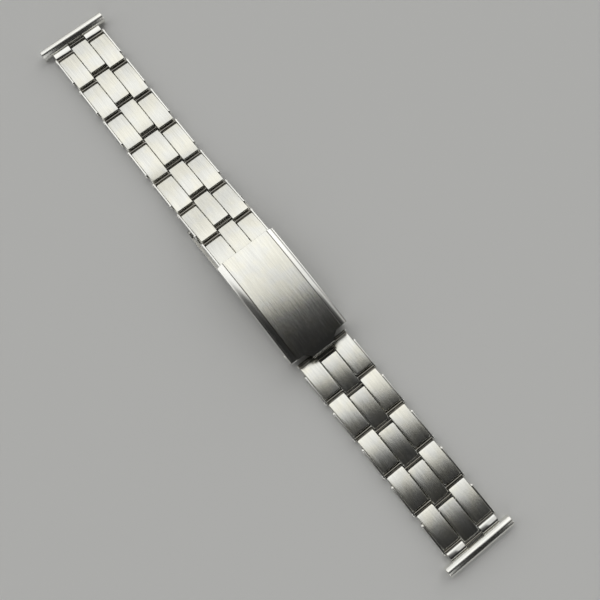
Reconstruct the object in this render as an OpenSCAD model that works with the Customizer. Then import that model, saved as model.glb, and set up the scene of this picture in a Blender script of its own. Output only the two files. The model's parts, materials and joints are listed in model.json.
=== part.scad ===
// Watch bracelet of folded rivet links with a three-fold clasp, lying stretched out on a table.
// X runs along the strap, Y across it and Z up. The clasp's sheets share one bending centre.

/* [Strap] */
// Rows of links on the long side, from the clasp to the watch
upper_rows = 7; // [4:1:8]
// Rows of links on the short side, from the clasp to the watch
lower_rows = 5; // [3:1:6]
// Distance from one hinge pin to the next
pitch = 11.4; // [9.5:0.1:13]
// Thickness of a link at the top of its crown
link_t = 2.4; // [2.1:0.05:2.8]
// Width of the centre links
center_w = 4.75; // [3.5:0.05:6]
// Width of each outer link
outer_w = 4.95; // [3.5:0.05:6]
// Side gap between the centre links and the outer ones
column_gap = 0.2; // [0.12:0.02:0.3]
// Radius of the crown along a link
crown_r = 28; // [20:1:45]
// Bevel along the long top edges of a link
edge_bevel = 0.22; // [0.1:0.02:0.3]
// Radius of a link's rounded ends
end_round = 0.75; // [0.65:0.05:0.95]
// Thickness of the folded sheet
sheet_t = 0.42; // [0.3:0.02:0.5]
// Width of the folding seam under a link
seam_w = 0.3; // [0.2:0.05:0.6]
// Gap between a hinge pin's centre and the outer links beside it
pin_gap = 0.58; // [0.58:0.01:0.8]
// Reach of a centre link past the hinge pin that it wraps
wrap_reach = 1.1; // [1.0:0.02:1.15]
// Clear space between one centre link and the next
center_space = 1.3; // [1.2:0.05:1.6]

/* [Pins and plates] */
// Radius of the hinge pins
hinge_r = 0.3; // [0.25:0.01:0.32]
// Wall of the small eyes that turn on the hinge pins
eye_wall = 0.17; // [0.14:0.01:0.18]
// Thickness of the neck between an eye and its link
neck_t = 0.6; // [0.4:0.02:0.7]
// Radius of the rivets behind the hinges
rivet_r = 0.35; // [0.28:0.01:0.45]
// Distance from a hinge pin to the rivet of the same row
rivet_at = 3.5; // [3.4:0.05:4]
// Radius of the bare pins in the centre gaps
tie_r = 0.36; // [0.25:0.01:0.38]
// Distance from a hinge pin to the bare pin of the same row
tie_at = 1.8; // [1.75:0.01:1.9]
// Radius of a riveted head
head_r = 0.62; // [0.5:0.02:0.75]
// Height of a riveted head
head_h = 0.25; // [0.15:0.01:0.3]
// Thickness of a side plate
plate_t = 0.4; // [0.3:0.02:0.5]
// Half height of a side plate
plate_r = 0.85; // [0.7:0.01:0.95]

/* [End pieces] */
// Length of the tubes between the watch's lugs
tube_len = 20; // [18:0.5:22]
// Outer radius of the tubes
tube_r = 1.45; // [1.3:0.05:1.6]
// Bore radius of the tubes, for a spring bar
tube_bore_r = 0.95; // [0.8:0.05:1.05]
// Distance from the last hinge pin to the tube
arm_len = 3.9; // [3.8:0.05:5]
// Radius of the roll of sheet between the last hinge pin and the tube
roll_r = 0.8; // [0.7:0.02:0.82]
// Distance from the last hinge pin to the middle of that roll
roll_at = 0.4; // [0.38:0.01:0.5]

/* [Clasp] */
// Bending radius of the lower blade's underside
bend_r = 110; // [95:1:150]
// Distance between the blade hinge and the short strand's pin
blade_span = 45.1; // [42:0.1:50]
// Thickness of both blades
blade_t = 0.8; // [0.7:0.05:0.9]
// Height of a rolled knuckle over the sheet that it is rolled from
knuckle_proud = 0.06; // [0.04:0.01:0.1]
// Inset of the lower blade's sides from the cover's
blade_inset = 0.1; // [0.05:0.01:0.5]
// Width of the knuckle in the middle of the blade hinge
mid_knuckle_w = 8.2; // [6:0.1:10]
// Radius of the clasp's two hinge pins
clasp_pin_r = 0.45; // [0.35:0.01:0.5]
// Thickness of the cover's top panel
cover_t = 0.75; // [0.6:0.05:0.9]
// Thickness of the cover's side walls
wall_t = 0.5; // [0.4:0.02:0.55]
// Width of the sloping border on each side of the cover's raised panel
border_w = 1.95; // [1.6:0.05:2.4]
// Height of the step round the raised panel
panel_step = 0.08; // [0.04:0.02:0.14]
// Fall of the sloping side borders
border_fall = 0.9; // [0.7:0.05:1]
// Bevel between the sloping borders and the side walls
wall_bevel = 0.25; // [0.15:0.01:0.35]
// Length of the cover along the strap
cover_len = 30.9; // [28:0.1:33]
// Distance from the cover's closed end to the short strand's pin
cover_end_gap = 1.0; // [0.9:0.05:1.5]
// Distance from the cover's closed end to its hinge pin
cover_hinge_at = 2.9; // [2.8:0.1:3.5]
// Distance from the cover's mouth to the adjusting bar
bar_at = 3.9; // [3.3:0.1:4.2]
// Pairs of adjusting holes in the side walls
adjust_holes = 5; // [3:1:6]
// Distance between adjusting holes
adjust_step = 2.6; // [2.2:0.1:3]
// Radius of the adjusting bar
bar_r = 0.75; // [0.6:0.01:0.8]
// Radius of the adjusting bar's sprung tips
bar_tip_r = 0.4; // [0.3:0.01:0.45]
// Width of the opening lip where it leaves the cover
lip_root_w = 10.7; // [9:0.1:12]
// Width of the opening lip at its tip
lip_tip_w = 6.7; // [5:0.1:8]
// Radius that the opening lip curls down on
lip_r = 3; // [2.6:0.1:3.6]
// Angle that the opening lip curls through
lip_sweep = 55; // [45:1:60]
// Angle of the lip's curl that is buried in the cover's end
lip_root_sweep = 14; // [12:1:18]

/* [Fits] */
// Running clearance round a pin
pin_fit = 0.03; // [0.02:0.01:0.05]
// Side clearance between a plate and the links inside it
plate_gap = 0.075; // [0.05:0.005:0.1]
// Gap between the folded blades
blade_gap = 0.3; // [0.2:0.05:0.4]
// Height between the upper blade and the links over it
link_lift = 0.4; // [0.35:0.05:0.5]
// Height between those links and the cover over them
cover_lift = 0.35; // [0.3:0.05:0.5]
// Side clearance between the rivet heads and the cover's walls
cover_play = 0.05; // [0.04:0.01:0.2]
// Side clearance of the blades and the adjusting bar inside what holds them
side_fit = 0.2; // [0.15:0.01:0.25]
// Gap between the cover's side walls and the lower blade
wall_gap = 0.15; // [0.1:0.05:0.2]
// Room round the short strand's first links where the lower blade takes them in
pocket_gap = 0.4; // [0.3:0.05:0.6]

/* [Hidden] */
function row_pieces() = ["outer_links", "center_link", "side_plates", "pins"];

$fn = 48;
big_fn = 360;
through = 60;
lip_steps = 8;
head_flat = 0.55;

brushed = [0.80, 0.79, 0.77];
polished = [0.88, 0.88, 0.88];
shaded = [0.66, 0.66, 0.66];

// Widths across the strap, from the middle outwards
half_center = center_w / 2;
outer_in = half_center + column_gap;
outer_out = outer_in + outer_w;
plate_in = outer_out + plate_gap;
plate_out = plate_in + plate_t;
head_out = plate_out + head_h;
inner_half = head_out + cover_play;
cover_half = inner_half + wall_t;
panel_half = cover_half - border_w;
lower_half = cover_half - blade_inset;
upper_half = inner_half - side_fit;

// Lengths along one row, from its near hinge pin
outer_start = pin_gap;
outer_end = pitch - pin_gap;
center_end = pitch + wrap_reach;
center_start = center_end - pitch + center_space;
half_t = link_t / 2;
foot_round = 0.6;
eye_r = hinge_r + pin_fit + eye_wall;

// Radii of the clasp's layers about the common bending centre
lower_in = bend_r;
lower_out = lower_in + blade_t;
upper_in = lower_out + blade_gap;
upper_out = upper_in + blade_t;
row_radius = upper_out + link_lift + half_t;
cover_in = row_radius + half_t + cover_lift;
cover_out = cover_in + cover_t;
wall_low = lower_out + wall_gap;
knuckle_r = (upper_out - lower_in) / 2 + knuckle_proud;
blade_hinge_rad = (lower_in + upper_out) / 2;
cover_hinge_rad = upper_in - knuckle_proud + knuckle_r;

// The bending centre lies below the table; the blade hinge's knuckles touch the table
half_span = blade_span / 2;
blade_hinge_phi = -asin(half_span / blade_hinge_rad);
center_z = knuckle_r - blade_hinge_rad * cos(blade_hinge_phi);
strand_pin = [half_span, half_t];
cover_end_x = half_span - cover_end_gap;
cover_mouth_x = cover_end_x - cover_len;
cover_end_phi = asin(cover_end_x / cover_out);
cover_mouth_phi = asin(cover_mouth_x / cover_out);
cover_hinge_phi = asin((cover_end_x - cover_hinge_at) / cover_hinge_rad);
bar_phi = asin((cover_mouth_x + bar_at) / row_radius);
adjust_phi = adjust_step / row_radius * 180 / PI;

function on_arc(radius, phi) = [radius * sin(phi), center_z + radius * cos(phi)];
blade_hinge = on_arc(blade_hinge_rad, blade_hinge_phi);
cover_hinge = on_arc(cover_hinge_rad, cover_hinge_phi);
adjust_bar = on_arc(row_radius, bar_phi);

// Slope of each row on the long side: two lie along the clasp's arc, one comes down to the table
arc_step = 2 * asin(pitch / 2 / row_radius);
function arc_row_slope(i) = -(bar_phi - (i - 0.5) * arc_step);
function upper_pin(i) =
    i == 0 ? adjust_bar
    : upper_pin(i - 1) - pitch * [cos(upper_slope(i)), sin(upper_slope(i))];
function upper_slope(i) =
    i <= 2 ? arc_row_slope(i)
    : i == 3 ? asin((upper_pin(2)[1] - half_t) / pitch)
    : 0;
function lower_pin(i) = strand_pin + [i * pitch, 0];

// The tubes touch the table too, so their arms rise a little from the last pin
arm_slope = -asin((tube_r - half_t) / arm_len);
arm_run = arm_len * cos(arm_slope);
left_x = upper_pin(upper_rows)[0] - arm_run - tube_r;
right_x = lower_pin(lower_rows)[0] + arm_run + tube_r;
middle_x = (left_x + right_x) / 2;

// Shapes along Y
module rod(r, from, to) {
    translate([0, to, 0]) rotate([90, 0, 0]) cylinder(h = to - from, r = r);
}
module bar_across(r, half) {
    rod(r, -half, half);
}
module slab(from, to) {
    translate([0, to, 0]) rotate([90, 0, 0]) linear_extrude(to - from) children();
}
module both_sides() {
    children();
    mirror([0, 1, 0]) children();
}

// A band bent about the common centre, from one angle to another, of the section (radius, y)
module bent(from, to) {
    translate([0, 0, center_z]) rotate([90, 0, 0]) rotate([0, 0, 90 - to])
        rotate_extrude(angle = to - from, $fn = big_fn) children();
}
module sheet_section(inner, outer, half) {
    translate([inner, -half]) square([outer - inner, 2 * half]);
}
module at(point) {
    translate([point[0], 0, point[1]]) children();
}

// Places a row whose own X runs away from the clasp
module upper_place(i) {
    at(upper_pin(i - 1)) rotate([0, -upper_slope(i), 0]) mirror([1, 0, 0]) children();
}
module lower_place(i) {
    at(lower_pin(i - 1)) children();
}

// Side outline of a folded link: a crowned top running smoothly into round ends
module link_outline(from, to, inset = 0) {
    mid = (from + to) / 2;
    left = from + inset;
    right = to - inset;
    radius = crown_r - inset;
    round = end_round - inset;
    foot = foot_round - inset;
    bottom = inset - half_t;
    crown_z = half_t - crown_r;
    reach = right - round - mid;
    round_z = crown_z + sqrt((radius - round) ^ 2 - reach ^ 2);
    tangent = reach * radius / (radius - round);
    intersection() {
        translate([mid, crown_z]) circle(radius, $fn = big_fn);
        translate([mid - tangent, bottom + foot]) square([2 * tangent, link_t]);
    }
    translate([left, bottom + foot]) square([right - left, round_z - bottom - foot]);
    translate([left + foot, bottom]) square([right - left - 2 * foot, 2 * foot]);
    for (x = [left + round, right - round]) translate([x, round_z]) circle(round);
    for (x = [left + foot, right - foot]) translate([x, bottom + foot]) circle(foot);
}

// Round top of a link, bevelled along its long edges
module crown_barrel(from, to, y_from, y_to) {
    translate([(from + to) / 2, 0, half_t - crown_r]) {
        translate([0, y_from + edge_bevel, 0]) rotate([90, 0, 0])
            cylinder(h = edge_bevel, r1 = crown_r, r2 = crown_r - edge_bevel, $fn = big_fn);
        translate([0, y_to - edge_bevel, 0]) rotate([90, 0, 0])
            cylinder(h = y_to - y_from - 2 * edge_bevel, r = crown_r, $fn = big_fn);
        translate([0, y_to, 0]) rotate([90, 0, 0])
            cylinder(h = edge_bevel, r1 = crown_r - edge_bevel, r2 = crown_r, $fn = big_fn);
    }
}

// Folded sheet link: hollow, open at its sides, pinched round its pins and seamed underneath
module folded_link(from, to, y_from, y_to, pins) {
    difference() {
        intersection() {
            slab(y_from, y_to) link_outline(from, to);
            crown_barrel(from, to, y_from, y_to);
        }
        difference() {
            slab(y_from - 1, y_to + 1) link_outline(from, to, sheet_t);
            for (pin = pins)
                translate([pin[0], 0, 0]) rod(pin[1] + pin_fit + sheet_t, y_from - 2, y_to + 2);
        }
        translate([(from + to - seam_w) / 2, y_from - 1, -link_t])
            cube([seam_w, y_to - y_from + 2, link_t]);
        for (pin = pins)
            translate([pin[0], 0, 0]) rod(pin[1] + pin_fit, y_from - 1, y_to + 1);
    }
}

// One outer link with the eye that turns on the hinge pin before it
module outer_link(pin_r) {
    eye = max(eye_r, pin_r + pin_fit + eye_wall);
    difference() {
        union() {
            folded_link(outer_start, outer_end, outer_in, outer_out,
                [[tie_at, tie_r], [rivet_at, rivet_r]]);
            rod(eye, outer_in, outer_out);
            translate([0, outer_in, -neck_t / 2]) cube([outer_start + sheet_t / 2, outer_w, neck_t]);
        }
        rod(pin_r + pin_fit, outer_in - 1, outer_out + 1);
        translate([tie_at, 0, 0]) rod(tie_r + pin_fit, outer_in - 1, outer_out + 1);
    }
}

module outer_links(pin_r) {
    color(brushed) both_sides() outer_link(pin_r);
}

module center_link() {
    color(brushed) folded_link(center_start, center_end, -half_center, half_center,
        [[rivet_at, rivet_r], [pitch, hinge_r]]);
}

module side_plate() {
    difference() {
        union() {
            translate([rivet_at, 0, 0]) rod(plate_r, plate_in, plate_out);
            translate([pitch, 0, 0]) rod(plate_r, plate_in, plate_out);
            translate([rivet_at, plate_in, -plate_r]) cube([pitch - rivet_at, plate_t, 2 * plate_r]);
        }
        translate([rivet_at, 0, 0]) rod(rivet_r + pin_fit, plate_in - 1, plate_out + 1);
        translate([pitch, 0, 0]) rod(hinge_r + pin_fit, plate_in - 1, plate_out + 1);
    }
}

module side_plates() {
    color(polished) both_sides() side_plate();
}

// A pin with a domed head hammered over at each end
module headed_pin(r, seat, head = head_r) {
    bar_across(r, seat + head_h / 2);
    both_sides() translate([0, seat, 0]) rotate([-90, 0, 0]) {
        cylinder(h = head_h / 2, r = head);
        translate([0, 0, head_h / 2]) cylinder(h = head_h / 2, r1 = head, r2 = head * head_flat);
    }
}

module row_pins() {
    color(polished) {
        translate([pitch, 0, 0]) headed_pin(hinge_r, plate_out);
        translate([rivet_at, 0, 0]) headed_pin(rivet_r, plate_out);
        translate([tie_at, 0, 0]) bar_across(tie_r, outer_out - sheet_t / 2);
    }
}

module row_piece(piece, near_pin_r) {
    if (piece == "outer_links") outer_links(near_pin_r);
    if (piece == "center_link") center_link();
    if (piece == "side_plates") side_plates();
    if (piece == "pins") row_pins();
}

// Tube for the watch's spring bar, on two rolls of sheet with eyes, joined by a bare bar
module end_piece() {
    color(polished) difference() {
        union() {
            translate([arm_len, 0, 0]) bar_across(tube_r, tube_len / 2);
            both_sides() {
                rod(eye_r, outer_in, outer_out);
                translate([roll_at, 0, 0]) rod(roll_r, outer_in, outer_out);
                translate([0, outer_in, -neck_t / 2]) cube([arm_len, outer_w, neck_t]);
            }
            translate([tie_at, 0, 0]) bar_across(tie_r, outer_in + sheet_t);
        }
        rod(hinge_r + pin_fit, -outer_out - 1, outer_out + 1);
        translate([arm_len, 0, 0]) bar_across(tube_bore_r, tube_len);
    }
}

module upper_end_piece() {
    at(upper_pin(upper_rows)) rotate([0, -arm_slope, 0]) mirror([1, 0, 0]) end_piece();
}
module lower_end_piece() {
    at(lower_pin(lower_rows)) rotate([0, arm_slope, 0]) end_piece();
}

// Cover section (radius, y): raised panel, step, sloping borders and side walls
module cover_section() {
    shoulder = cover_out - border_fall;
    inner_fall = cover_in - border_fall * (inner_half - panel_half) / border_w;
    polygon([
        [cover_out, -panel_half], [cover_out, panel_half],
        [cover_out - panel_step, panel_half + panel_step], [shoulder, cover_half - wall_bevel],
        [shoulder - wall_bevel, cover_half], [wall_low, cover_half], [wall_low, inner_half],
        [inner_fall, inner_half], [cover_in, panel_half], [cover_in, -panel_half],
        [inner_fall, -inner_half], [wall_low, -inner_half], [wall_low, -cover_half],
        [shoulder - wall_bevel, -cover_half], [shoulder, wall_bevel - cover_half],
        [cover_out - panel_step, -panel_half - panel_step]
    ]);
}

// Opening lip: the panel's sheet curls down past the cover's end and flares in to its tip
function lip_half(share) = (lip_tip_w + (lip_root_w - lip_tip_w) * (1 - share) ^ 2) / 2;
module opening_lip() {
    lip_t = cover_t - 2 * panel_step;
    curl = on_arc(cover_out - panel_step - lip_r, cover_end_phi);
    reach = lip_r * (sin(cover_end_phi + lip_sweep) - sin(cover_end_phi));
    intersection() {
        at(curl) rotate([90, 0, 0]) rotate([0, 0, 90 - cover_end_phi - lip_sweep])
            rotate_extrude(angle = lip_sweep + lip_root_sweep)
                sheet_section(lip_r - lip_t, lip_r, lip_root_w / 2 + 1);
        translate([cover_end_x, 0, 0]) linear_extrude(through) polygon([
            [-cover_t, -lip_root_w / 2],
            for (k = [0 : lip_steps]) [reach * k / lip_steps, -lip_half(k / lip_steps)],
            for (k = [lip_steps : -1 : 0]) [reach * k / lip_steps, lip_half(k / lip_steps)],
            [-cover_t, lip_root_w / 2]
        ]);
    }
}

module clasp_cover() {
    color(brushed) difference() {
        union() {
            bent(cover_mouth_phi, cover_end_phi) cover_section();
            opening_lip();
        }
        for (i = [0 : adjust_holes - 1])
            at(on_arc(row_radius, bar_phi + i * adjust_phi)) bar_across(bar_tip_r + pin_fit, cover_half + 1);
        at(cover_hinge) bar_across(clasp_pin_r + pin_fit, cover_half + 1);
    }
}

// Inner blade: its middle knuckle turns at the blade hinge, its full one under the cover's end
module clasp_upper_blade() {
    clear_r = knuckle_r + side_fit;
    color(shaded) difference() {
        union() {
            difference() {
                bent(blade_hinge_phi, cover_hinge_phi)
                    sheet_section(upper_in, upper_out, upper_half);
                at(blade_hinge) both_sides() rod(clear_r, mid_knuckle_w / 2, upper_half + 1);
            }
            at(blade_hinge) bar_across(knuckle_r, mid_knuckle_w / 2);
            at(cover_hinge) bar_across(knuckle_r, upper_half - side_fit / 2);
        }
        at(blade_hinge) bar_across(clasp_pin_r + pin_fit, upper_half + 1);
        at(cover_hinge) bar_across(clasp_pin_r + pin_fit, upper_half + 1);
    }
}

// Outer blade: two knuckles at the blade hinge, and a middle one for the short strand's pin
module clasp_lower_blade() {
    clear_r = knuckle_r + side_fit;
    knuckle_in = mid_knuckle_w / 2 + side_fit;
    strand_phi = asin(half_span / (lower_in + blade_t / 2));
    color(shaded) difference() {
        union() {
            difference() {
                bent(blade_hinge_phi, strand_phi) sheet_section(lower_in, lower_out, lower_half);
                at(blade_hinge) bar_across(clear_r, knuckle_in);
                at(strand_pin) both_sides() rod(half_t + pocket_gap, half_center, lower_half + 1);
            }
            at(blade_hinge) both_sides() rod(knuckle_r, knuckle_in, lower_half - side_fit / 2);
            at(strand_pin) bar_across(half_t, half_center);
        }
        at(blade_hinge) bar_across(clasp_pin_r + pin_fit, lower_half + 1);
        at(strand_pin) bar_across(hinge_r + pin_fit, lower_half + 1);
    }
}

module cover_hinge_pin() {
    color(polished) at(cover_hinge) headed_pin(clasp_pin_r, cover_half);
}
module blade_hinge_pin() {
    color(polished) at(blade_hinge) bar_across(clasp_pin_r, lower_half);
}
module lower_strand_pin() {
    color(polished) at(strand_pin) headed_pin(hinge_r, outer_out + plate_gap, eye_r);
}
module adjusting_spring_bar() {
    color(polished) at(adjust_bar) {
        bar_across(bar_r, inner_half - side_fit);
        bar_across(bar_tip_r, inner_half + wall_t - side_fit / 2);
    }
}

translate([-middle_x, 0, 0]) {
    for (i = [1 : upper_rows]) for (piece = row_pieces())
        upper_place(i) row_piece(piece, i == 1 ? bar_r : hinge_r);
    for (i = [1 : lower_rows]) for (piece = row_pieces())
        lower_place(i) row_piece(piece, hinge_r);
    upper_end_piece();
    lower_end_piece();
    clasp_cover();
    clasp_upper_blade();
    clasp_lower_blade();
    cover_hinge_pin();
    blade_hinge_pin();
    adjusting_spring_bar();
    lower_strand_pin();
}
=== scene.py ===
"""Looks of the folded rivet link bracelet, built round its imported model.

Each piece is a surface worked out in millimetres in the frame of its own row, where X runs from the
row's near hinge pin to its far one, Y runs across the strap and Z is up. It is then placed in metres.
The clasp's pieces are worked out about the centre that its sheets are bent round.
"""
import json
import math

import bmesh
import bpy
import numpy as np
from mathutils import Matrix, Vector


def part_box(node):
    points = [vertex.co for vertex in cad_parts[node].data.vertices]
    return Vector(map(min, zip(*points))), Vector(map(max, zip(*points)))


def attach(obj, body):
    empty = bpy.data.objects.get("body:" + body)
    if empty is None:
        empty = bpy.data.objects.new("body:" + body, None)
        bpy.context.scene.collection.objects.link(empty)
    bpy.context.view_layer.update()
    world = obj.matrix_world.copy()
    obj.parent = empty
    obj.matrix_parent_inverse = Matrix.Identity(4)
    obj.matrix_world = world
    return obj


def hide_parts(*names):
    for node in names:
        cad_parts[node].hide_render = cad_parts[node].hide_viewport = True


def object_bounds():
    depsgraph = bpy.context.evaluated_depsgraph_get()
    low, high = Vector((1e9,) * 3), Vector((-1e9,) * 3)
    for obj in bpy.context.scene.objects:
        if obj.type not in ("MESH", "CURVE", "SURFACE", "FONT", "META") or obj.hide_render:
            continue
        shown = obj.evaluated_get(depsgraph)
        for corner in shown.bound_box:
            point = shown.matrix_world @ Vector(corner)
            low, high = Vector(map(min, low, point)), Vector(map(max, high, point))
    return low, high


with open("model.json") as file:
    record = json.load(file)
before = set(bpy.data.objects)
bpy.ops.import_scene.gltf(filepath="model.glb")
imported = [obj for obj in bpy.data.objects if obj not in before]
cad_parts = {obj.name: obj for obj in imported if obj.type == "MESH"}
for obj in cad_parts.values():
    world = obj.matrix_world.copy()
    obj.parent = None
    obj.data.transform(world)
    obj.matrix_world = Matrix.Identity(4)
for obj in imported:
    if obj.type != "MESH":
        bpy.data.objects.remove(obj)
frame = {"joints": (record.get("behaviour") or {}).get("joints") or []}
cad_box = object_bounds()

MM = 0.001
SEED = 11
MERGE_M = 1e-7

# Links, in millimetres
PITCH = 11.4
HALF_T = 1.2
CENTER_W = 4.75
OUTER_W = 4.95
COLUMN_GAP = 0.2
CROWN_R = 34.0
END_ROUND = 0.3
FOOT_ROUND = 0.6
SHEET_T = 0.42
SEAM_W = 0.3
PIN_GAP = 0.58
WRAP_REACH = 1.1
CENTER_SPACE = 1.3
EDGE_ROUND = 0.2
CORNER_ROUND = 0.3
# How far the crowns of outer and centre links lean along them, from the row's middle to its far end
LEAN = {"upper": (-1.6, -1.6), "lower": (1.9, 0.0)}
LEAN_SPREAD = 0.5

# Pins and plates
HINGE_R = 0.3
EYE_WALL = 0.17
PIN_FIT = 0.03
EYE_R = HINGE_R + PIN_FIT + EYE_WALL
NECK_T = 0.6
RIVET_R = 0.35
RIVET_AT = 3.5
TIE_R = 0.36
TIE_AT = 1.8
HEAD_R = 0.62
HEAD_H = 0.25
PLATE_T = 0.4
PLATE_R = 0.85
PLATE_GAP = 0.075

# End pieces
TUBE_LEN = 20.0
TUBE_R = 1.45
BORE_R = 0.95
ROLL_AT = 1.3
ROLL_HALF_W = 1.05
ROLL_HALF_T = 0.75
ROLL_LEAN = math.radians(4)

# Clasp
BEND_R = 110.0
BLADE_T = 0.8
BLADE_GAP = 0.3
BLADE_SPAN = 45.1
BLADE_INSET = 0.1
KNUCKLE_PROUD = 0.06
MID_KNUCKLE_W = 8.2
CLASP_PIN_R = 0.45
POCKET_GAP = 0.4
SIDE_FIT = 0.2
LINK_LIFT = 0.4
COVER_LIFT = 0.35
COVER_PLAY = 0.05
COVER_T = 0.75
COVER_LEN = 30.9
COVER_END_GAP = 1.0
WALL_T = 0.5
WALL_GAP = 0.15
WALL_BEVEL = 0.25
WALL_DROP = 0.2
BORDER_W = 1.95
BORDER_FALL = 0.9
PANEL_STEP = 0.08
ADJUST_HOLES = 5
ADJUST_STEP = 2.6
BAR_R = 0.75
BAR_TIP_R = 0.4
LIP_ROOT_W = 10.7
LIP_TIP_W = 6.7
LIP_R = 3.0
LIP_SWEEP = math.radians(55)

HALF_CENTER = CENTER_W / 2
OUTER_IN = HALF_CENTER + COLUMN_GAP
OUTER_OUT = OUTER_IN + OUTER_W
PLATE_IN = OUTER_OUT + PLATE_GAP
PLATE_OUT = PLATE_IN + PLATE_T
INNER_HALF = PLATE_OUT + HEAD_H + COVER_PLAY
COVER_HALF = INNER_HALF + WALL_T
PANEL_HALF = COVER_HALF - BORDER_W
LOWER_HALF = COVER_HALF - BLADE_INSET
UPPER_HALF = INNER_HALF - SIDE_FIT
CENTER_START = WRAP_REACH + CENTER_SPACE
CENTER_END = PITCH + WRAP_REACH

LOWER_OUT = BEND_R + BLADE_T
UPPER_IN = LOWER_OUT + BLADE_GAP
UPPER_OUT = UPPER_IN + BLADE_T
ROW_RADIUS = UPPER_OUT + LINK_LIFT + HALF_T
COVER_IN = ROW_RADIUS + HALF_T + COVER_LIFT
COVER_OUT = COVER_IN + COVER_T
WALL_LOW = LOWER_OUT + WALL_GAP
WALL_TOP = COVER_OUT - BORDER_FALL - WALL_BEVEL - WALL_DROP
KNUCKLE_R = (UPPER_OUT - BEND_R) / 2 + KNUCKLE_PROUD

rng = np.random.default_rng(SEED)


# Surfaces

def grid_faces(rows, columns, around_rows, around_columns):
    """Quads of a grid of points: each joins a point to the next one both ways, wrapping where asked."""
    r = np.arange(rows if around_rows else rows - 1)
    c = np.arange(columns if around_columns else columns - 1)
    r, c = np.meshgrid(r, c, indexing="ij")
    r2, c2 = (r + 1) % rows, (c + 1) % columns
    corners = [r * columns + c, r2 * columns + c, r2 * columns + c2, r * columns + c2]
    return np.stack(corners, -1).reshape(-1, 4)


def turned(grid, caps=(0, -1), around_rows=False, finish=0):
    """One part of a piece: closed rings of points joined one to the next, with flat caps on some rows."""
    rows, columns = grid.shape[:2]
    faces = grid_faces(rows, columns, around_rows, True).tolist()
    for row in caps:
        first = (row % rows) * columns
        faces.append(list(range(first, first + columns)))
    return grid.reshape(-1, 3), faces, finish


def arc(centre, radius, start, end, count):
    """Points (x, z, normal x, normal z) round a centre; angles run from +Z towards +X."""
    a = np.linspace(start, end, count)
    s, c = np.sin(a), np.cos(a)
    return np.stack([centre[0] + radius * s, centre[1] + radius * c, s, c], -1)


def straight(start, end, normal, count):
    """Points from start to end, both left out, that share one normal."""
    t = np.linspace(0, 1, count + 2)[1:-1, None]
    xz = np.array(start) * (1 - t) + np.array(end) * t
    return np.hstack([xz, np.tile(normal, (count, 1))])


def link_path(start, end, lean):
    """Side outline of a folded link, from one edge of its seam round to the other.

    A crown arc, whose top lies that lean past the middle, meets two end arcs at common tangents.
    Straight sides and foot arcs lead to the seam at the middle of the bottom."""
    mid = (start + end) / 2
    top = mid + lean
    low = -HALF_T
    inner_r = CROWN_R - END_ROUND

    def half(reach, seam):
        across = reach - END_ROUND
        round_z = HALF_T - CROWN_R + math.sqrt(inner_r ** 2 - across ** 2)
        tangent = math.asin(across / inner_r)
        foot = (reach - FOOT_ROUND, low + FOOT_ROUND)
        edge = seam + SEAM_W / 2
        return np.vstack([
            arc((0, HALF_T - CROWN_R), CROWN_R, 0, tangent, 14)[:-1],
            arc((across, round_z), END_ROUND, tangent, math.pi / 2, 10),
            arc(foot, FOOT_ROUND, math.pi / 2, math.pi, 7),
            straight((foot[0], low), (edge, low), (0, -1), 3),
            [[edge + 0.12, low, 0, -1], [edge, low + 0.1, -0.3, -0.95]],
        ])

    left = half(top - start, top - mid)[:0:-1] * [-1, 1, -1, 1]
    path = np.vstack([left, half(end - top, mid - top)])
    path[:, 0] += top
    return path


def band_ring(y_from, y_to, thickness, outer_round, inner_round=0.06, crown=0.03):
    """Section across a folded sheet as (y, depth), closed: a faintly crowned face with rounded edges."""
    a = np.linspace(0, math.pi / 2, 5)
    half, mid = (y_to - y_from) / 2, (y_from + y_to) / 2
    flat = half - outer_round
    face_y = np.linspace(-1, 1, 11)[1:-1] * flat
    face = np.stack([face_y, crown * (face_y / half) ** 2], -1)
    edge = crown * (flat / half) ** 2
    turn = np.stack([flat + outer_round * np.sin(a), edge + outer_round * (1 - np.cos(a))], -1)
    turn_in = np.stack([
        half - inner_round * (1 - np.cos(a)), thickness - inner_round * (1 - np.sin(a))], -1)
    side = np.vstack([turn, turn_in])
    other = side[::-1] * [-1, 1]
    inner = np.stack([np.linspace(1, -1, 7)[1:-1] * (half - inner_round), np.full(5, thickness)], -1)
    return np.vstack([face, side, inner, other]) + [mid, 0]


def folded(path, ring, corner=0.0):
    """A sheet's section carried along a path: each ring point lies its depth inside the path's normal.

    Near both ends the section narrows on a quarter circle, which rounds the link's corners."""
    p, n = path[:, None, :2], path[:, None, 2:]
    xz = p - n * ring[None, :, 1:2]
    x = path[:, 0]
    past = np.maximum(corner - np.minimum(x - x.min(), x.max() - x), 0)
    narrow = corner - np.sqrt(corner ** 2 - past ** 2)
    mid, half = (ring[:, 0].min() + ring[:, 0].max()) / 2, np.ptp(ring[:, 0]) / 2
    y = mid + (ring[None, :, 0] - mid) * (1 - narrow / half)[:, None]
    return turned(np.concatenate([xz[..., :1], y[..., None], xz[..., 1:]], -1))


def slab(outline, y_from, y_to, edge, finish=0):
    """A closed outline drawn out across the strap, its rim rounded by a quarter circle at both faces."""
    a = np.linspace(0, math.pi / 2, 4)
    inset = np.concatenate([edge * (1 - np.sin(a)), edge * (1 - np.cos(a))])
    y = np.concatenate([y_from + edge * (1 - np.cos(a)), y_to - edge * (1 - np.sin(a))])
    xz = outline[None, :, :2] - outline[None, :, 2:] * inset[:, None, None]
    y = np.broadcast_to(y[:, None, None], xz[..., :1].shape)
    return turned(np.concatenate([xz[..., :1], y, xz[..., 1:]], -1), finish=finish)


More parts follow.
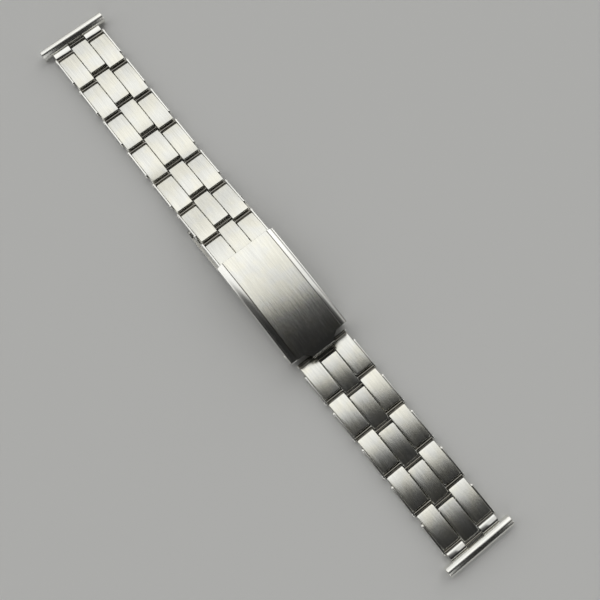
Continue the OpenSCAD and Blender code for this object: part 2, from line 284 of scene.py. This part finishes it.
def lathe(centre, profile, count=40, ring=False, finish=0):
    """A profile (radius, y) turned round an axis along Y through a centre (x, z)."""
    a = np.linspace(0, 2 * math.pi, count, endpoint=False)
    r, y = profile[:, None, 0], profile[:, None, 1]
    grid = np.stack([centre[0] + r * np.sin(a), np.broadcast_to(y, (len(profile), count)),
                     centre[1] + r * np.cos(a)], -1)
    return turned(grid, () if ring else (0, -1), ring, finish)


def bent(ring, phi):
    """A section (radius, y), or one for each angle, carried round the bending centre."""
    radius, y = np.broadcast_to(ring[..., 0], (len(phi), ring.shape[-2])), ring[..., 1]
    y = np.broadcast_to(y, radius.shape)
    return np.stack([radius * np.sin(phi)[:, None], y, radius * np.cos(phi)[:, None]], -1)


def mirrored(part):
    """A part's mirror image across the strap's middle."""
    points, faces, finish = part
    return points * [1, -1, 1], [face[::-1] for face in faces], finish


def both_sides(part):
    return [part, mirrored(part)]


def parted(part, test, finish):
    """Splits a part in two: the faces whose middle passes the test take another finish."""
    points, faces, first = part
    passed = [bool(test(points[face].mean(0))) for face in faces]
    return [(points, [f for f, ok in zip(faces, passed) if not ok], first),
            (points, [f for f, ok in zip(faces, passed) if ok], finish)]


def piece(name, parts, place, body, finishes, stands_for=(), sharp=32):
    """Makes the object: parts placed by a 4x4 matrix, doubles merged, normals outwards, folds sharp."""
    points, faces, numbers, total = [], [], [], 0
    for xyz, quads, number in parts:
        points.append(xyz)
        faces += [[v + total for v in face] for face in quads]
        numbers += [number] * len(quads)
        total += len(xyz)
    points = np.vstack(points) @ place[:3, :3].T + place[:3, 3]
    mesh = bpy.data.meshes.new(name)
    mesh.from_pydata(points.tolist(), [], faces)
    for material in finishes:
        mesh.materials.append(material)
    mesh.polygons.foreach_set("material_index", np.array(numbers, np.int32))
    bm = bmesh.new()
    bm.from_mesh(mesh)
    bmesh.ops.remove_doubles(bm, verts=bm.verts, dist=MERGE_M)
    bmesh.ops.dissolve_degenerate(bm, dist=MERGE_M, edges=bm.edges)
    bmesh.ops.recalc_face_normals(bm, faces=bm.faces)
    bm.to_mesh(mesh)
    bm.free()
    mesh.shade_smooth()
    mesh.set_sharp_from_angle(angle=math.radians(sharp))
    obj = bpy.data.objects.new(name, mesh)
    bpy.context.scene.collection.objects.link(obj)
    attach(obj, body)
    if stands_for:
        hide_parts(*stands_for)
    return obj


# Materials

class Value:
    """A shader socket that Python's operators work on: each adds one Math node."""

    def __init__(self, nodes, socket):
        self.nodes, self.socket = nodes, socket

    def math(self, operation, *others):
        return self.nodes.add("ShaderNodeMath", {"operation": operation}, [self, *others])

    def __add__(self, other):
        return self.math("ADD", other)

    def __mul__(self, other):
        return self.math("MULTIPLY", other)

    def __sub__(self, other):
        return self.math("SUBTRACT", other)

    def __rsub__(self, other):
        return self.nodes.add("ShaderNodeMath", {"operation": "SUBTRACT"}, [other, self])

    __radd__ = __add__
    __rmul__ = __mul__

    def clamp(self, low, high):
        return self.math("MAXIMUM", low).math("MINIMUM", high)

    def smooth(self, start, end, low, high):
        """Runs softly from low to high while the value runs from start to end."""
        return self.nodes.add("ShaderNodeMapRange", {"interpolation_type": "SMOOTHSTEP"}, {
            "Value": self, "From Min": start, "From Max": end, "To Min": low, "To Max": high})


class Nodes:
    """The node tree of one material or world, emptied."""

    def __init__(self, owner):
        owner.use_nodes = True
        self.tree = owner.node_tree
        self.tree.nodes.clear()

    def put(self, socket, value):
        if isinstance(value, Value):
            self.tree.links.new(value.socket, socket)
        else:
            socket.default_value = value

    def add(self, kind, settings=None, values=None, out=0):
        """Adds a node: its settings first, then the values or links of its sockets, by place or by name."""
        node = self.tree.nodes.new(kind)
        for key, value in (settings or {}).items():
            setattr(node, key, value)
        items = values.items() if isinstance(values, dict) else enumerate(values or [])
        for key, value in items:
            self.put(node.inputs[key], value)
        return Value(self, node.outputs[out]) if node.outputs else None

    def noise(self, at, scale, detail=2.0, roughness=0.5, stretch=(1, 1, 1)):
        """Noise of so many cells a metre, on coordinates stretched by three factors."""
        mapped = self.add("ShaderNodeMapping", {"vector_type": "POINT"}, {"Vector": at, "Scale": stretch})
        return self.add("ShaderNodeTexNoise", {}, {
            "Vector": mapped, "Scale": scale, "Detail": detail, "Roughness": roughness})

    def blend(self, factor, first, second):
        """Mixes two colours, given as tuples or links."""
        return self.add("ShaderNodeMix", {"data_type": "RGBA"}, {
            "Factor": factor, 6: first, 7: second}, out=2)


def steel(name, cool, warm, roughness, brush=0.0, wear=0.05, streak=0.05):
    """Steel with a lengthwise brushing, long streaks, warm and cool clouds and fine wear.

    Brush is the depth of the brushing's bump in millimetres, and 0 leaves the face polished."""
    material = bpy.data.materials.new(name)
    n = Nodes(material)
    at = n.add("ShaderNodeTexCoord", out=3)
    streaks = n.noise(at, 2600, 3, 0.6, (0.05, 1, 0.3))
    clouds = n.noise(at, 190, 3, 0.55)
    patches = n.noise(at, 260, 2, 0.5, (1, 1, 0.3)).smooth(0.35, 0.65, 0, 1)
    fine = n.noise(at, 9000, 2, 0.6, (0.02, 1, 0.4))
    scuffs = n.noise(at, 900, 4, 0.7)
    tone = (streaks - 0.5) * streak + (clouds - 0.5) * (wear * 2) + 1.0
    colour = n.add("ShaderNodeVectorMath", {"operation": "SCALE"}, {
        0: n.blend(patches, (*cool, 1), (*warm, 1)), "Scale": tone})
    rough = (roughness + (streaks - 0.5) * (roughness * 0.5) + (scuffs - 0.5) * wear
             + (clouds - 0.5) * wear).clamp(0.03, 0.9)
    height = fine * brush + streaks * brush + scuffs * 0.002
    normal = n.add("ShaderNodeBump", {}, {"Strength": 1.0, "Distance": MM, "Height": height})
    shader = n.add("ShaderNodeBsdfPrincipled", {}, {
        "Base Color": colour, "Metallic": 1.0, "Roughness": rough, "Normal": normal})
    n.add("ShaderNodeOutputMaterial", {}, {"Surface": shader})
    return material


BRUSHED = (0.80, 0.80, 0.76), (0.83, 0.815, 0.73)
POLISHED = (0.86, 0.86, 0.83), (0.87, 0.86, 0.82)
# Painted shade: the blades' faces get this darker steel, which stands for the shade they lie in under and
# beside the strap; their rims stay polished
SHADED = (0.42, 0.415, 0.39), (0.44, 0.43, 0.39)
# Painted shade: eyes, tie rods and the cover's groove get this dark steel, which stands for the shade deep
# in the gaps between parts
RECESS_PAINTED_SHADE = (0.26, 0.25, 0.225), (0.3, 0.285, 0.25)
brushed_links = steel("brushed_links", *BRUSHED, 0.22, brush=0.010, streak=0.4)
brushed_cover = steel("brushed_cover", *BRUSHED, 0.14, brush=0.006, streak=0.4)
polished_plates = steel("polished_plates", *POLISHED, 0.12, wear=0.04)
polished_steel = steel("polished_steel", *POLISHED, 0.10, wear=0.04)
satin_tube = steel("satin_tube", (0.92, 0.92, 0.88), (0.93, 0.92, 0.87), 0.22, brush=0.004)
recess_painted_shade = steel("recess_painted_shade", *RECESS_PAINTED_SHADE, 0.2, wear=0.1)
blade_steel = steel("blade_steel", *SHADED, 0.28, brush=0.006)


# Rows and end pieces

joint_at = {j["name"]: np.array(j["pos_m"]) for j in frame["joints"]}


def place_between(origin, toward):
    """Matrix from a row's frame to the model's: X runs from one hinge to the next, and Y stays level."""
    along = (toward - origin) / np.linalg.norm(toward - origin)
    up = np.array([0, 0, 1]) - along * along[2]
    up /= np.linalg.norm(up)
    place = np.eye(4)
    place[:3, 0], place[:3, 1], place[:3, 2] = along * MM, np.cross(up, along) * MM, up * MM
    place[:3, 3] = origin
    return place


def eye(radius, reach, y_from, y_to):
    """An eye round the pin at the origin, with its flat neck: a teardrop outline drawn across the strap."""
    neck = math.asin(NECK_T / 2 / radius)
    outline = np.vstack([
        arc((0, 0), radius, math.pi / 2 + neck, 5 * math.pi / 2 - neck, 25),
        [[reach, NECK_T / 2, 0, 1], [reach, -NECK_T / 2, 0, -1]],
    ])
    # Finish 1 is the dark recess steel: painted shade on the eye, deep in the gap between links
    return slab(outline, y_from, y_to, 0.06, 1)


def stadium(x_from, x_to, radius):
    """Outline round two pins: half circles joined by straight sides."""
    return np.vstack([
        arc((x_to, 0), radius, 0, math.pi, 17),
        arc((x_from, 0), radius, math.pi, 2 * math.pi, 17),
    ])


def headed(centre, radius, seat, head=HEAD_R):
    """A pin across the strap with a low dome hammered over each end."""
    a = np.linspace(0, math.pi / 2, 7)
    dome = np.stack([head * np.cos(a) ** 0.8, seat + HEAD_H * np.sin(a)], -1)[:-1]
    half = np.vstack([[[radius, seat]], [[head * 0.97, seat]], dome])
    other = half[::-1] * [1, -1]
    return lathe(centre, np.vstack([other, half]), 28)


def rod(centre, radius, half, soft=0.05, finish=0):
    """A bare pin across the strap, its ends broken a little."""
    end = np.array([[radius, half - soft], [radius - soft, half]])
    return lathe(centre, np.vstack([end[::-1] * [1, -1], end]), 28, finish=finish)


def outer_link(lean, eye_r):
    """One outer link on the +Y side, with its own slight lean, and its eye."""
    lean += LEAN_SPREAD * rng.standard_normal()
    ring = band_ring(OUTER_IN, OUTER_OUT, SHEET_T, EDGE_ROUND)
    return [folded(link_path(PIN_GAP, PITCH - PIN_GAP, lean), ring, CORNER_ROUND),
            eye(eye_r, PIN_GAP + SHEET_T / 2, OUTER_IN, OUTER_OUT)]


def row_parts(side, eye_r):
    """The parts of a row in its own frame, by the name of the piece they make."""
    outer_lean, lean = LEAN[side]
    lean += LEAN_SPREAD * rng.standard_normal()
    ring = band_ring(-HALF_CENTER, HALF_CENTER, SHEET_T, EDGE_ROUND)
    return {
        "outer_links": outer_link(outer_lean, eye_r)
        + [mirrored(part) for part in outer_link(outer_lean, eye_r)],
        "center_link": [folded(link_path(CENTER_START, CENTER_END, lean), ring, CORNER_ROUND)],
        "side_plates": both_sides(slab(stadium(RIVET_AT, PITCH, PLATE_R), PLATE_IN, PLATE_OUT, 0.1)),
        "pins": [headed((PITCH, 0), HINGE_R, PLATE_OUT), headed((RIVET_AT, 0), RIVET_R, PLATE_OUT),
                 # The tie rod takes finish 1, the dark recess steel: painted shade in the gap between links
                 rod((TIE_AT, 0), TIE_R, OUTER_OUT - SHEET_T / 2, finish=1)],
    }


FINISH = {
    "outer_links": (brushed_links, "brushed_links"),
    "center_link": (brushed_links, "brushed_links"),
    "side_plates": (polished_plates, "polished_plates"),
    "pins": (polished_steel, "polished_steel"),
}


def strand(side, rows):
    """All rows of one strand, placed between the hinges that the model gives."""
    names = [f"{side}_row_{i}_hinge" for i in range(1, rows + 1)] + [f"{side}_end_hinge"]
    hinges = [joint_at[name] for name in names]
    for i in range(1, rows + 1):
        body = f"{side}_row_{i}"
        place = place_between(hinges[i - 1], hinges[i])
        eye_r = BAR_R + PIN_FIT + EYE_WALL if body == "upper_row_1" else EYE_R
        for kind, parts in row_parts(side, eye_r).items():
            material, slot = FINISH[kind]
            # Slot 1 holds the dark recess steel, painted shade for the eyes and the tie rod
            piece(f"{body}.{kind}", parts, place, body, [material, recess_painted_shade], [f"{body}_{kind}"])


def tube_profile():
    """Section (radius, y) of the spring bar's tube: a bored cylinder with broken edges, closed."""
    half, soft, bore_soft = TUBE_LEN / 2, 0.12, 0.05
    end = np.array([
        [TUBE_R, half - soft], [TUBE_R - soft * 0.3, half - soft * 0.3], [TUBE_R - soft, half],
        [BORE_R + bore_soft, half], [BORE_R, half - bore_soft]])
    return np.vstack([end, end[::-1] * [1, -1]])


def roll():
    """The flattened roll beside the tube: a fourth-power oval, turned a little down towards the link."""
    a = np.linspace(0, 2 * math.pi, 57)[:-1]
    sin, cos = np.sin(a), np.cos(a)
    oval = np.stack([np.sign(sin) * np.sqrt(np.abs(sin)) * ROLL_HALF_W,
                     np.sign(cos) * np.sqrt(np.abs(cos)) * ROLL_HALF_T], -1)
    out = np.stack([(oval[:, 0] / ROLL_HALF_W) ** 3 / ROLL_HALF_W,
                    (oval[:, 1] / ROLL_HALF_T) ** 3 / ROLL_HALF_T], -1)
    out /= np.linalg.norm(out, axis=1)[:, None]
    turn = np.array([[math.cos(ROLL_LEAN), math.sin(ROLL_LEAN)],
                     [-math.sin(ROLL_LEAN), math.cos(ROLL_LEAN)]])
    return slab(np.hstack([oval @ turn + [ROLL_AT, 0], out @ turn]), OUTER_IN, OUTER_OUT, 0.1)


def end_piece(side, tube_place):
    """The tube, held by two rolls of sheet that turn on the last hinge pin, with a bare bar between."""
    hinge = joint_at[f"{side}_end_hinge"]
    reach = np.linalg.norm(tube_place - hinge) / MM
    parts = both_sides(roll())
    parts += both_sides(eye(EYE_R, reach - BORE_R - 0.2, OUTER_IN, OUTER_OUT))
    # The eyes and the bare bar take finish 1, the dark recess steel: painted shade between the rolls
    parts += [rod((TIE_AT, 0), TIE_R, OUTER_IN + SHEET_T, finish=1),
              lathe((reach, 0), tube_profile(), 64, True, 2)]
    piece(f"{side}_end.tube_and_rolls", parts, place_between(hinge, tube_place), f"{side}_end",
          [polished_steel, recess_painted_shade, satin_tube], [f"{side}_end_piece"])


def tube_centre(side, sign):
    """The tube's axis: a tube radius inside the end piece's far end, and a tube radius over the table."""
    low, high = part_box(f"{side}_end_piece")
    x = (high[0] - TUBE_R * MM) if sign > 0 else (low[0] + TUBE_R * MM)
    return np.array([x, 0, low[2] + TUBE_R * MM])


strand("upper", 7)
strand("lower", 5)
end_piece("upper", tube_centre("upper", -1))
end_piece("lower", tube_centre("lower", 1))


# Clasp: positions from here on are taken from the bending centre

blade_at, strand_at = joint_at["blade_hinge"] / MM, joint_at["lower_row_1_hinge"] / MM
blade_rad = (BEND_R + UPPER_OUT) / 2
bend = np.array([(blade_at[0] + strand_at[0]) / 2, 0,
                 blade_at[2] - math.sqrt(blade_rad ** 2 - (BLADE_SPAN / 2) ** 2)])
bend_place = np.diag([MM, MM, MM, 1.0])
bend_place[:3, 3] = bend * MM
cover_end_x = BLADE_SPAN / 2 - COVER_END_GAP
end_phi = math.asin(cover_end_x / COVER_OUT)
mouth_phi = math.asin((cover_end_x - COVER_LEN) / COVER_OUT)


def from_bend(name):
    """A joint's place as (x, z) from the bending centre."""
    place = joint_at[name] / MM - bend
    return place[0], place[2]


blade_hinge, cover_hinge = from_bend("blade_hinge"), from_bend("cover_hinge")
adjust_bar, strand_pin = from_bend("upper_row_1_hinge"), from_bend("lower_row_1_hinge")


def angle_of(place):
    return math.atan2(place[0], place[1])


def cover_section():
    """Outer and inner halves of the cover's section as (radius, y), from the middle to the wall's top.

    The panel ends in a narrow groove; the border slopes down from it, bulging by a sine's half wave."""
    top = np.stack([np.full(9, COVER_OUT), np.linspace(0, PANEL_HALF, 9)], -1)
    groove = np.array([
        [COVER_OUT - PANEL_STEP * 0.5, PANEL_HALF + 0.05], [COVER_OUT - PANEL_STEP * 1.9, PANEL_HALF + 0.12],
        [COVER_OUT - PANEL_STEP * 1.9, PANEL_HALF + 0.2], [COVER_OUT - PANEL_STEP * 1.1, PANEL_HALF + 0.27]])
    t = np.linspace(0, 1, 12)[1:]
    shoulder = COVER_OUT - BORDER_FALL
    slope = groove[-1] + (np.array([shoulder, COVER_HALF - WALL_BEVEL]) - groove[-1]) * t[:, None]
    slope[:, 0] += 0.14 * np.sin(t * math.pi)
    corner = np.array([
        [shoulder - WALL_BEVEL * 0.3, COVER_HALF - WALL_BEVEL * 0.3], [shoulder - WALL_BEVEL, COVER_HALF],
        [WALL_TOP, COVER_HALF]])
    fall = BORDER_FALL * (INNER_HALF - PANEL_HALF) / BORDER_W
    inner = np.array([
        [WALL_TOP, INNER_HALF], [COVER_IN - fall, INNER_HALF], [COVER_IN, PANEL_HALF], [COVER_IN, 0]])
    return np.vstack([top, groove, slope, corner, inner])


def cover_sheet():
    """The section carried round the bending centre, its rim drawn in a little at both ends."""
    right = cover_section()
    ring = np.vstack([right[:-1], (right[::-1] * [1, -1])[:-1]])
    rim = 0.12
    steps = np.array([0, 0.3, 0.7, 1.0]) * rim / COVER_OUT
    drawn = [rim, rim * 0.3, 0.02, 0]
    inset = np.concatenate([drawn, np.zeros(60), drawn[::-1]])
    run = np.linspace(mouth_phi, end_phi, 62)[1:-1]
    phi = np.concatenate([mouth_phi + steps, run, end_phi - steps[::-1]])
    tangent = np.roll(ring, -1, 0) - np.roll(ring, 1, 0)
    normal = np.stack([tangent[:, 1], -tangent[:, 0]], -1)
    normal /= np.linalg.norm(normal, axis=1)[:, None]
    flat = ring[None] - normal[None] * inset[:, None, None]
    return turned(bent(flat, phi))


def wall_band(phi_from, phi_to):
    """A plain run of a side wall: a rectangle with rounded feet carried round the bending centre."""
    soft = 0.1
    ring = np.array([
        [WALL_TOP, COVER_HALF], [WALL_LOW + soft, COVER_HALF],
        [WALL_LOW + soft * 0.3, COVER_HALF - soft * 0.3],
        [WALL_LOW, COVER_HALF - soft], [WALL_LOW, INNER_HALF + soft],
        [WALL_LOW + soft, INNER_HALF], [WALL_TOP, INNER_HALF]])
    return turned(bent(ring, np.linspace(phi_from, phi_to, 12)))


def wall_cell(phi, width):
    """A run of wall round one adjusting hole: loops that go from a rectangle to a circle and back inside."""
    low, high, count = WALL_LOW - ROW_RADIUS, WALL_TOP - ROW_RADIUS, 8
    t = np.linspace(0, 1, count, endpoint=False)
    s, r = width / 2 * (2 * t - 1), low + (high - low) * t
    side = np.full(count, width / 2)
    frame_s = np.concatenate([s, side, -s, -side])
    frame_r = np.concatenate([np.full(count, low), r, np.full(count, high), high + low - r])
    turn = np.arctan2(frame_r, frame_s)
    hole = BAR_TIP_R + PIN_FIT
    soft = 0.07
    loops = []
    for share, radius, y in (
            (1, 0, COVER_HALF), (0.45, hole, COVER_HALF), (0, hole + soft, COVER_HALF),
            (0, hole, COVER_HALF - soft), (0, hole, INNER_HALF + soft), (0, hole + soft, INNER_HALF),
            (0.45, hole, INNER_HALF), (1, 0, INNER_HALF)):
        along = frame_s * share + radius * np.cos(turn) * (1 - share)
        up = ROW_RADIUS + frame_r * share + radius * np.sin(turn) * (1 - share)
        a = phi + along / ROW_RADIUS
        loops.append(np.stack([up * np.sin(a), np.full(len(a), y), up * np.cos(a)], -1))
    return turned(np.array(loops), (), around_rows=True)


def cover():
    """The cover: its panel brushed, its borders and side walls polished, with the adjusting holes."""
    def off_panel(p):
        return abs(p[1]) > PANEL_HALF + 0.02 or np.hypot(p[0], p[2]) < COVER_OUT - COVER_T / 2

    def in_groove(p):
        return 0.06 < abs(p[1]) - PANEL_HALF < 0.24

    first = angle_of(adjust_bar)
    step = ADJUST_STEP / ROW_RADIUS
    walls = [wall_cell(first + i * step, ADJUST_STEP) for i in range(ADJUST_HOLES)]
    walls += [wall_band(mouth_phi, first - step / 2),
              wall_band(first + (ADJUST_HOLES - 0.5) * step, end_phi)]
    plain, rest = parted(cover_sheet(), off_panel, 1)
    # The groove takes the dark recess steel: painted shade along the panel's edge
    parts = [plain, *parted(rest, in_groove, 2)]
    for points, faces, _ in walls:
        parts += both_sides((points, faces, 1))
    piece("cover.sheet", parts, bend_place, "cover", [brushed_cover, polished_plates, recess_painted_shade],
          ["clasp_cover"], sharp=18)


def lip():
    """The opening lip: a sheet curling down past the cover's end, its sides drawn in on a parabola."""
    t = np.linspace(-0.25, 1, 26)
    thick = COVER_T - 2 * PANEL_STEP
    radius = COVER_OUT - PANEL_STEP - LIP_R
    centre = np.array([radius * math.sin(end_phi), radius * math.cos(end_phi)])
    angle = end_phi + LIP_SWEEP * t
    reach = LIP_R * (np.sin(angle) - math.sin(end_phi))
    full = LIP_R * (math.sin(end_phi + LIP_SWEEP) - math.sin(end_phi))
    share = np.clip(reach / full, 0, 1)
    half = (LIP_TIP_W + (LIP_ROOT_W - LIP_TIP_W) * (1 - share) ** 2) / 2
    edge = np.concatenate([[-1, -0.985], np.linspace(-1, 1, 25)[1:-1], [0.985, 1]])
    depth = np.where(abs(edge) > 0.99, 0.12, 0.0)
    drawn = np.zeros(len(t))
    drawn[-2:] = 0.03, 0.14
    d = np.hstack([depth + drawn[:, None], (thick - depth - drawn[:, None])[:, ::-1]])
    y = np.concatenate([edge, edge[::-1]]) * half[:, None]
    r = LIP_R - d
    grid = np.stack([centre[0] + r * np.sin(angle)[:, None], y, centre[1] + r * np.cos(angle)[:, None]], -1)
    piece("cover.lip", [turned(grid)], bend_place, "cover", [polished_plates])


def knuckle(centre, radius, y_from, y_to, start):
    """A rolled knuckle: a circle whose radius shrinks a little over its last turn, which leaves a seam."""
    a = np.linspace(0, 2 * math.pi, 49)
    roll = arc(centre, radius, start, start + 2 * math.pi, 49)
    shrink = 0.09 * np.clip((a - 1.6 * math.pi) / (0.4 * math.pi), 0, 1) ** 2
    roll[:, :2] -= roll[:, 2:] * shrink[:, None]
    return slab(roll, y_from, y_to, 0.08)


def blade_sheet(inner, outer, steps):
    """A bent sheet whose ends step back across its width: rows of (y, start angle, end angle)."""
    soft = 0.12
    first, last = steps[0], steps[-1]
    rows = [(first[0], soft, *first[1:]), (first[0] + soft, 0, *first[1:])]
    rows += [(y, 0, start, end) for y, start, end in steps[1:-1]]
    rows += [(last[0] - soft, 0, *last[1:]), (last[0], soft, *last[1:])]
    t = np.linspace(0, 1, 48)
    at_end = np.zeros(len(t))
    at_end[[0, -1]] = soft
    rings = []
    for y, inset, start, end in rows:
        phi = start + (end - start) * t
        phi = np.concatenate([phi, phi[::-1]])
        r = np.concatenate([outer - inset - at_end, (inner + inset + at_end)[::-1]])
        rings.append(np.stack([r * np.sin(phi), np.full(len(phi), y), r * np.cos(phi)], -1))
    return turned(np.array(rings))


def mirror_steps(half):
    """The rows of a blade's sheet from one edge to the other, out of those of its +Y half."""
    return [(-y, start, end) for y, start, end in half[::-1]] + half


def blades():
    """Both blades: bent sheets with rolled knuckles, satin on their faces, which are darkened with painted
    shade, and bright on their rims.
    """
    room = KNUCKLE_R + SIDE_FIT
    hinge_phi, cover_phi, pin_phi = angle_of(blade_hinge), angle_of(cover_hinge), angle_of(strand_pin)
    back = hinge_phi + room / BEND_R
    mid, mid_out = MID_KNUCKLE_W / 2, MID_KNUCKLE_W / 2 + SIDE_FIT
    pocket = pin_phi - (HALF_T + POCKET_GAP) / BEND_R

    steps = mirror_steps([
        (HALF_CENTER, back, pin_phi), (HALF_CENTER, back, pocket), (mid_out, back, pocket),
        (mid_out, hinge_phi, pocket), (LOWER_HALF, hinge_phi, pocket)])
    parts = parted(blade_sheet(BEND_R, LOWER_OUT, steps), lambda p: abs(p[1]) > LOWER_HALF - 0.13, 1)
    parts += both_sides(knuckle(blade_hinge, KNUCKLE_R, mid_out, LOWER_HALF - SIDE_FIT / 2, 0.6))
    parts += [knuckle(strand_pin, HALF_T, -HALF_CENTER, HALF_CENTER, 2.2)]
    piece("lower_blade.sheet", parts, bend_place, "lower_blade", [blade_steel, polished_plates],
          ["clasp_lower_blade"])

    steps = mirror_steps([
        (mid, hinge_phi, cover_phi), (mid, back, cover_phi), (UPPER_HALF, back, cover_phi)])
    parts = parted(blade_sheet(UPPER_IN, UPPER_OUT, steps), lambda p: abs(p[1]) > UPPER_HALF - 0.13, 1)
    parts += [knuckle(blade_hinge, KNUCKLE_R, -mid, mid, 2.4),
              knuckle(cover_hinge, KNUCKLE_R, SIDE_FIT / 2 - UPPER_HALF, UPPER_HALF - SIDE_FIT / 2, 3.6)]
    piece("upper_blade.sheet", parts, bend_place, "upper_blade", [blade_steel, polished_plates],
          ["clasp_upper_blade"])


def clasp_pins():
    """The clasp's four pins: two hinge pins, the short strand's pin and the adjusting spring bar."""
    bar = [rod(adjust_bar, BAR_R, INNER_HALF - SIDE_FIT, 0.15),
           rod(adjust_bar, BAR_TIP_R, COVER_HALF - SIDE_FIT / 2, 0.1)]
    for name, body, parts in (
            ("cover_hinge_pin", "cover", [headed(cover_hinge, CLASP_PIN_R, COVER_HALF)]),
            ("adjusting_spring_bar", "cover", bar),
            ("blade_hinge_pin", "lower_blade", [rod(blade_hinge, CLASP_PIN_R, LOWER_HALF, 0.1)]),
            ("lower_strand_pin", "lower_blade",
             [headed(strand_pin, HINGE_R, OUTER_OUT + PLATE_GAP, EYE_R)])):
        piece(f"{body}.{name}", parts, bend_place, body, [polished_steel], [name])


cover()
lip()
blades()
clasp_pins()


# Floor, light and camera

FLOOR = (0.74, 0.74, 0.73, 1)
FLOOR_HALF_M = 1.5
FLOOR_GAP_M = 0.00002
LIGHT = (1.0, 1.0, 0.985, 1.0)
# The line between the light's bright and dark sides: the Y where it turns, how sharply it turns
# there, how much it bows away from there on both sides, and its lean
EDGE_MIDDLE = 0.12
EDGE_TURN = 1.2
EDGE_BOW = 0.1
EDGE_LEAN = 0.05
LENS_MM = 47.75
CAMERA_AT = (0.04694, -0.02429, 0.20117)
CAMERA_RIGHT = (0.6172, 0.7868, 0.0007)
CAMERA_UP = (-0.7678, 0.6021, 0.2188)
CAMERA_FORWARD = (-0.1717, 0.1356, -0.9758)


def floor():
    """A wide pale sheet on the table's level, just under the tubes."""
    xy = np.array([[-1, -1], [1, -1], [1, 1], [-1, 1]]) * FLOOR_HALF_M
    mesh = bpy.data.meshes.new("table")
    mesh.from_pydata([[x, y, cad_box[0][2] - FLOOR_GAP_M] for x, y in xy], [], [[0, 1, 2, 3]])
    material = bpy.data.materials.new("pale_table")
    n = Nodes(material)
    shader = n.add("ShaderNodeBsdfPrincipled", {}, {"Base Color": FLOOR, "Roughness": 0.95})
    n.add("ShaderNodeOutputMaterial", {}, {"Surface": shader})
    mesh.materials.append(material)
    obj = bpy.data.objects.new("table", mesh)
    bpy.context.scene.collection.objects.link(obj)


def studio():
    """A soft bright dome with a dark side over +X, as when the photographer stands between two windows.

    The light falls off across a line that leans with Y, and comes back low down at +Y, at the
    two corners beside +X, and close to the horizon on both sides of the strap."""
    world = bpy.data.worlds.new("studio")
    bpy.context.scene.world = world
    n = Nodes(world)
    way = n.add("ShaderNodeTexCoord", out=0)
    split = n.tree.nodes.new("ShaderNodeSeparateXYZ")
    n.put(split.inputs[0], way)
    x, y, z = (Value(n, out) for out in split.outputs)
    off = y - EDGE_MIDDLE
    away = off.math("ABSOLUTE")
    across = x - off.clamp(-0.05, 0.05) * EDGE_TURN + away * EDGE_BOW - off * EDGE_LEAN
    level = x.smooth(-0.38, -0.06, 1.12, 0.72) * x.smooth(-0.8, -0.42, 0.76, 1.0)
    bright = level * y.smooth(0.3, 0.8, 1.0, 1.2) * across.smooth(-0.1, 0.02, 1.0, 0.13)
    dome = bright * across.smooth(0.0, 0.2, 1.0, 0.2)
    side = y.smooth(0.74, 0.92, 0.0, 0.9) * x.smooth(-0.12, 0.12, 1.0, 0.12)
    corners = x.smooth(0.3, 0.5, 0.0, 0.95) * away.smooth(0.3, 0.5, 0.0, 1.0)
    far = y.math("ABSOLUTE").smooth(0.968, 0.995, 0.0, 0.8)
    low = side.math("MAXIMUM", corners).math("MAXIMUM", far)
    glow = dome.math("MAXIMUM", low) * z.smooth(-0.05, 0.22, 0.15, 1.0)
    seen = n.add("ShaderNodeLightPath", out=0)
    strength = glow * (1 - seen) + seen
    out = n.add("ShaderNodeBackground", {}, {"Color": LIGHT, "Strength": strength})
    n.add("ShaderNodeOutputWorld", {}, {"Surface": out})


def camera():
    """The photograph's place: above, off the strap's long axis, with the fitted lens."""
    data = bpy.data.cameras.new("photo")
    data.sensor_width = 36.0
    data.lens = LENS_MM
    data.clip_start, data.clip_end = 0.01, 10
    obj = bpy.data.objects.new("photo", data)
    turn = Matrix([[CAMERA_RIGHT[i], CAMERA_UP[i], -CAMERA_FORWARD[i]] for i in range(3)])
    obj.rotation_mode = "QUATERNION"
    obj.rotation_quaternion = turn.to_quaternion()
    obj.location = CAMERA_AT
    bpy.context.scene.collection.objects.link(obj)
    bpy.context.scene.camera = obj


floor()
studio()
camera()
bpy.context.scene.view_settings.view_transform = "Standard"
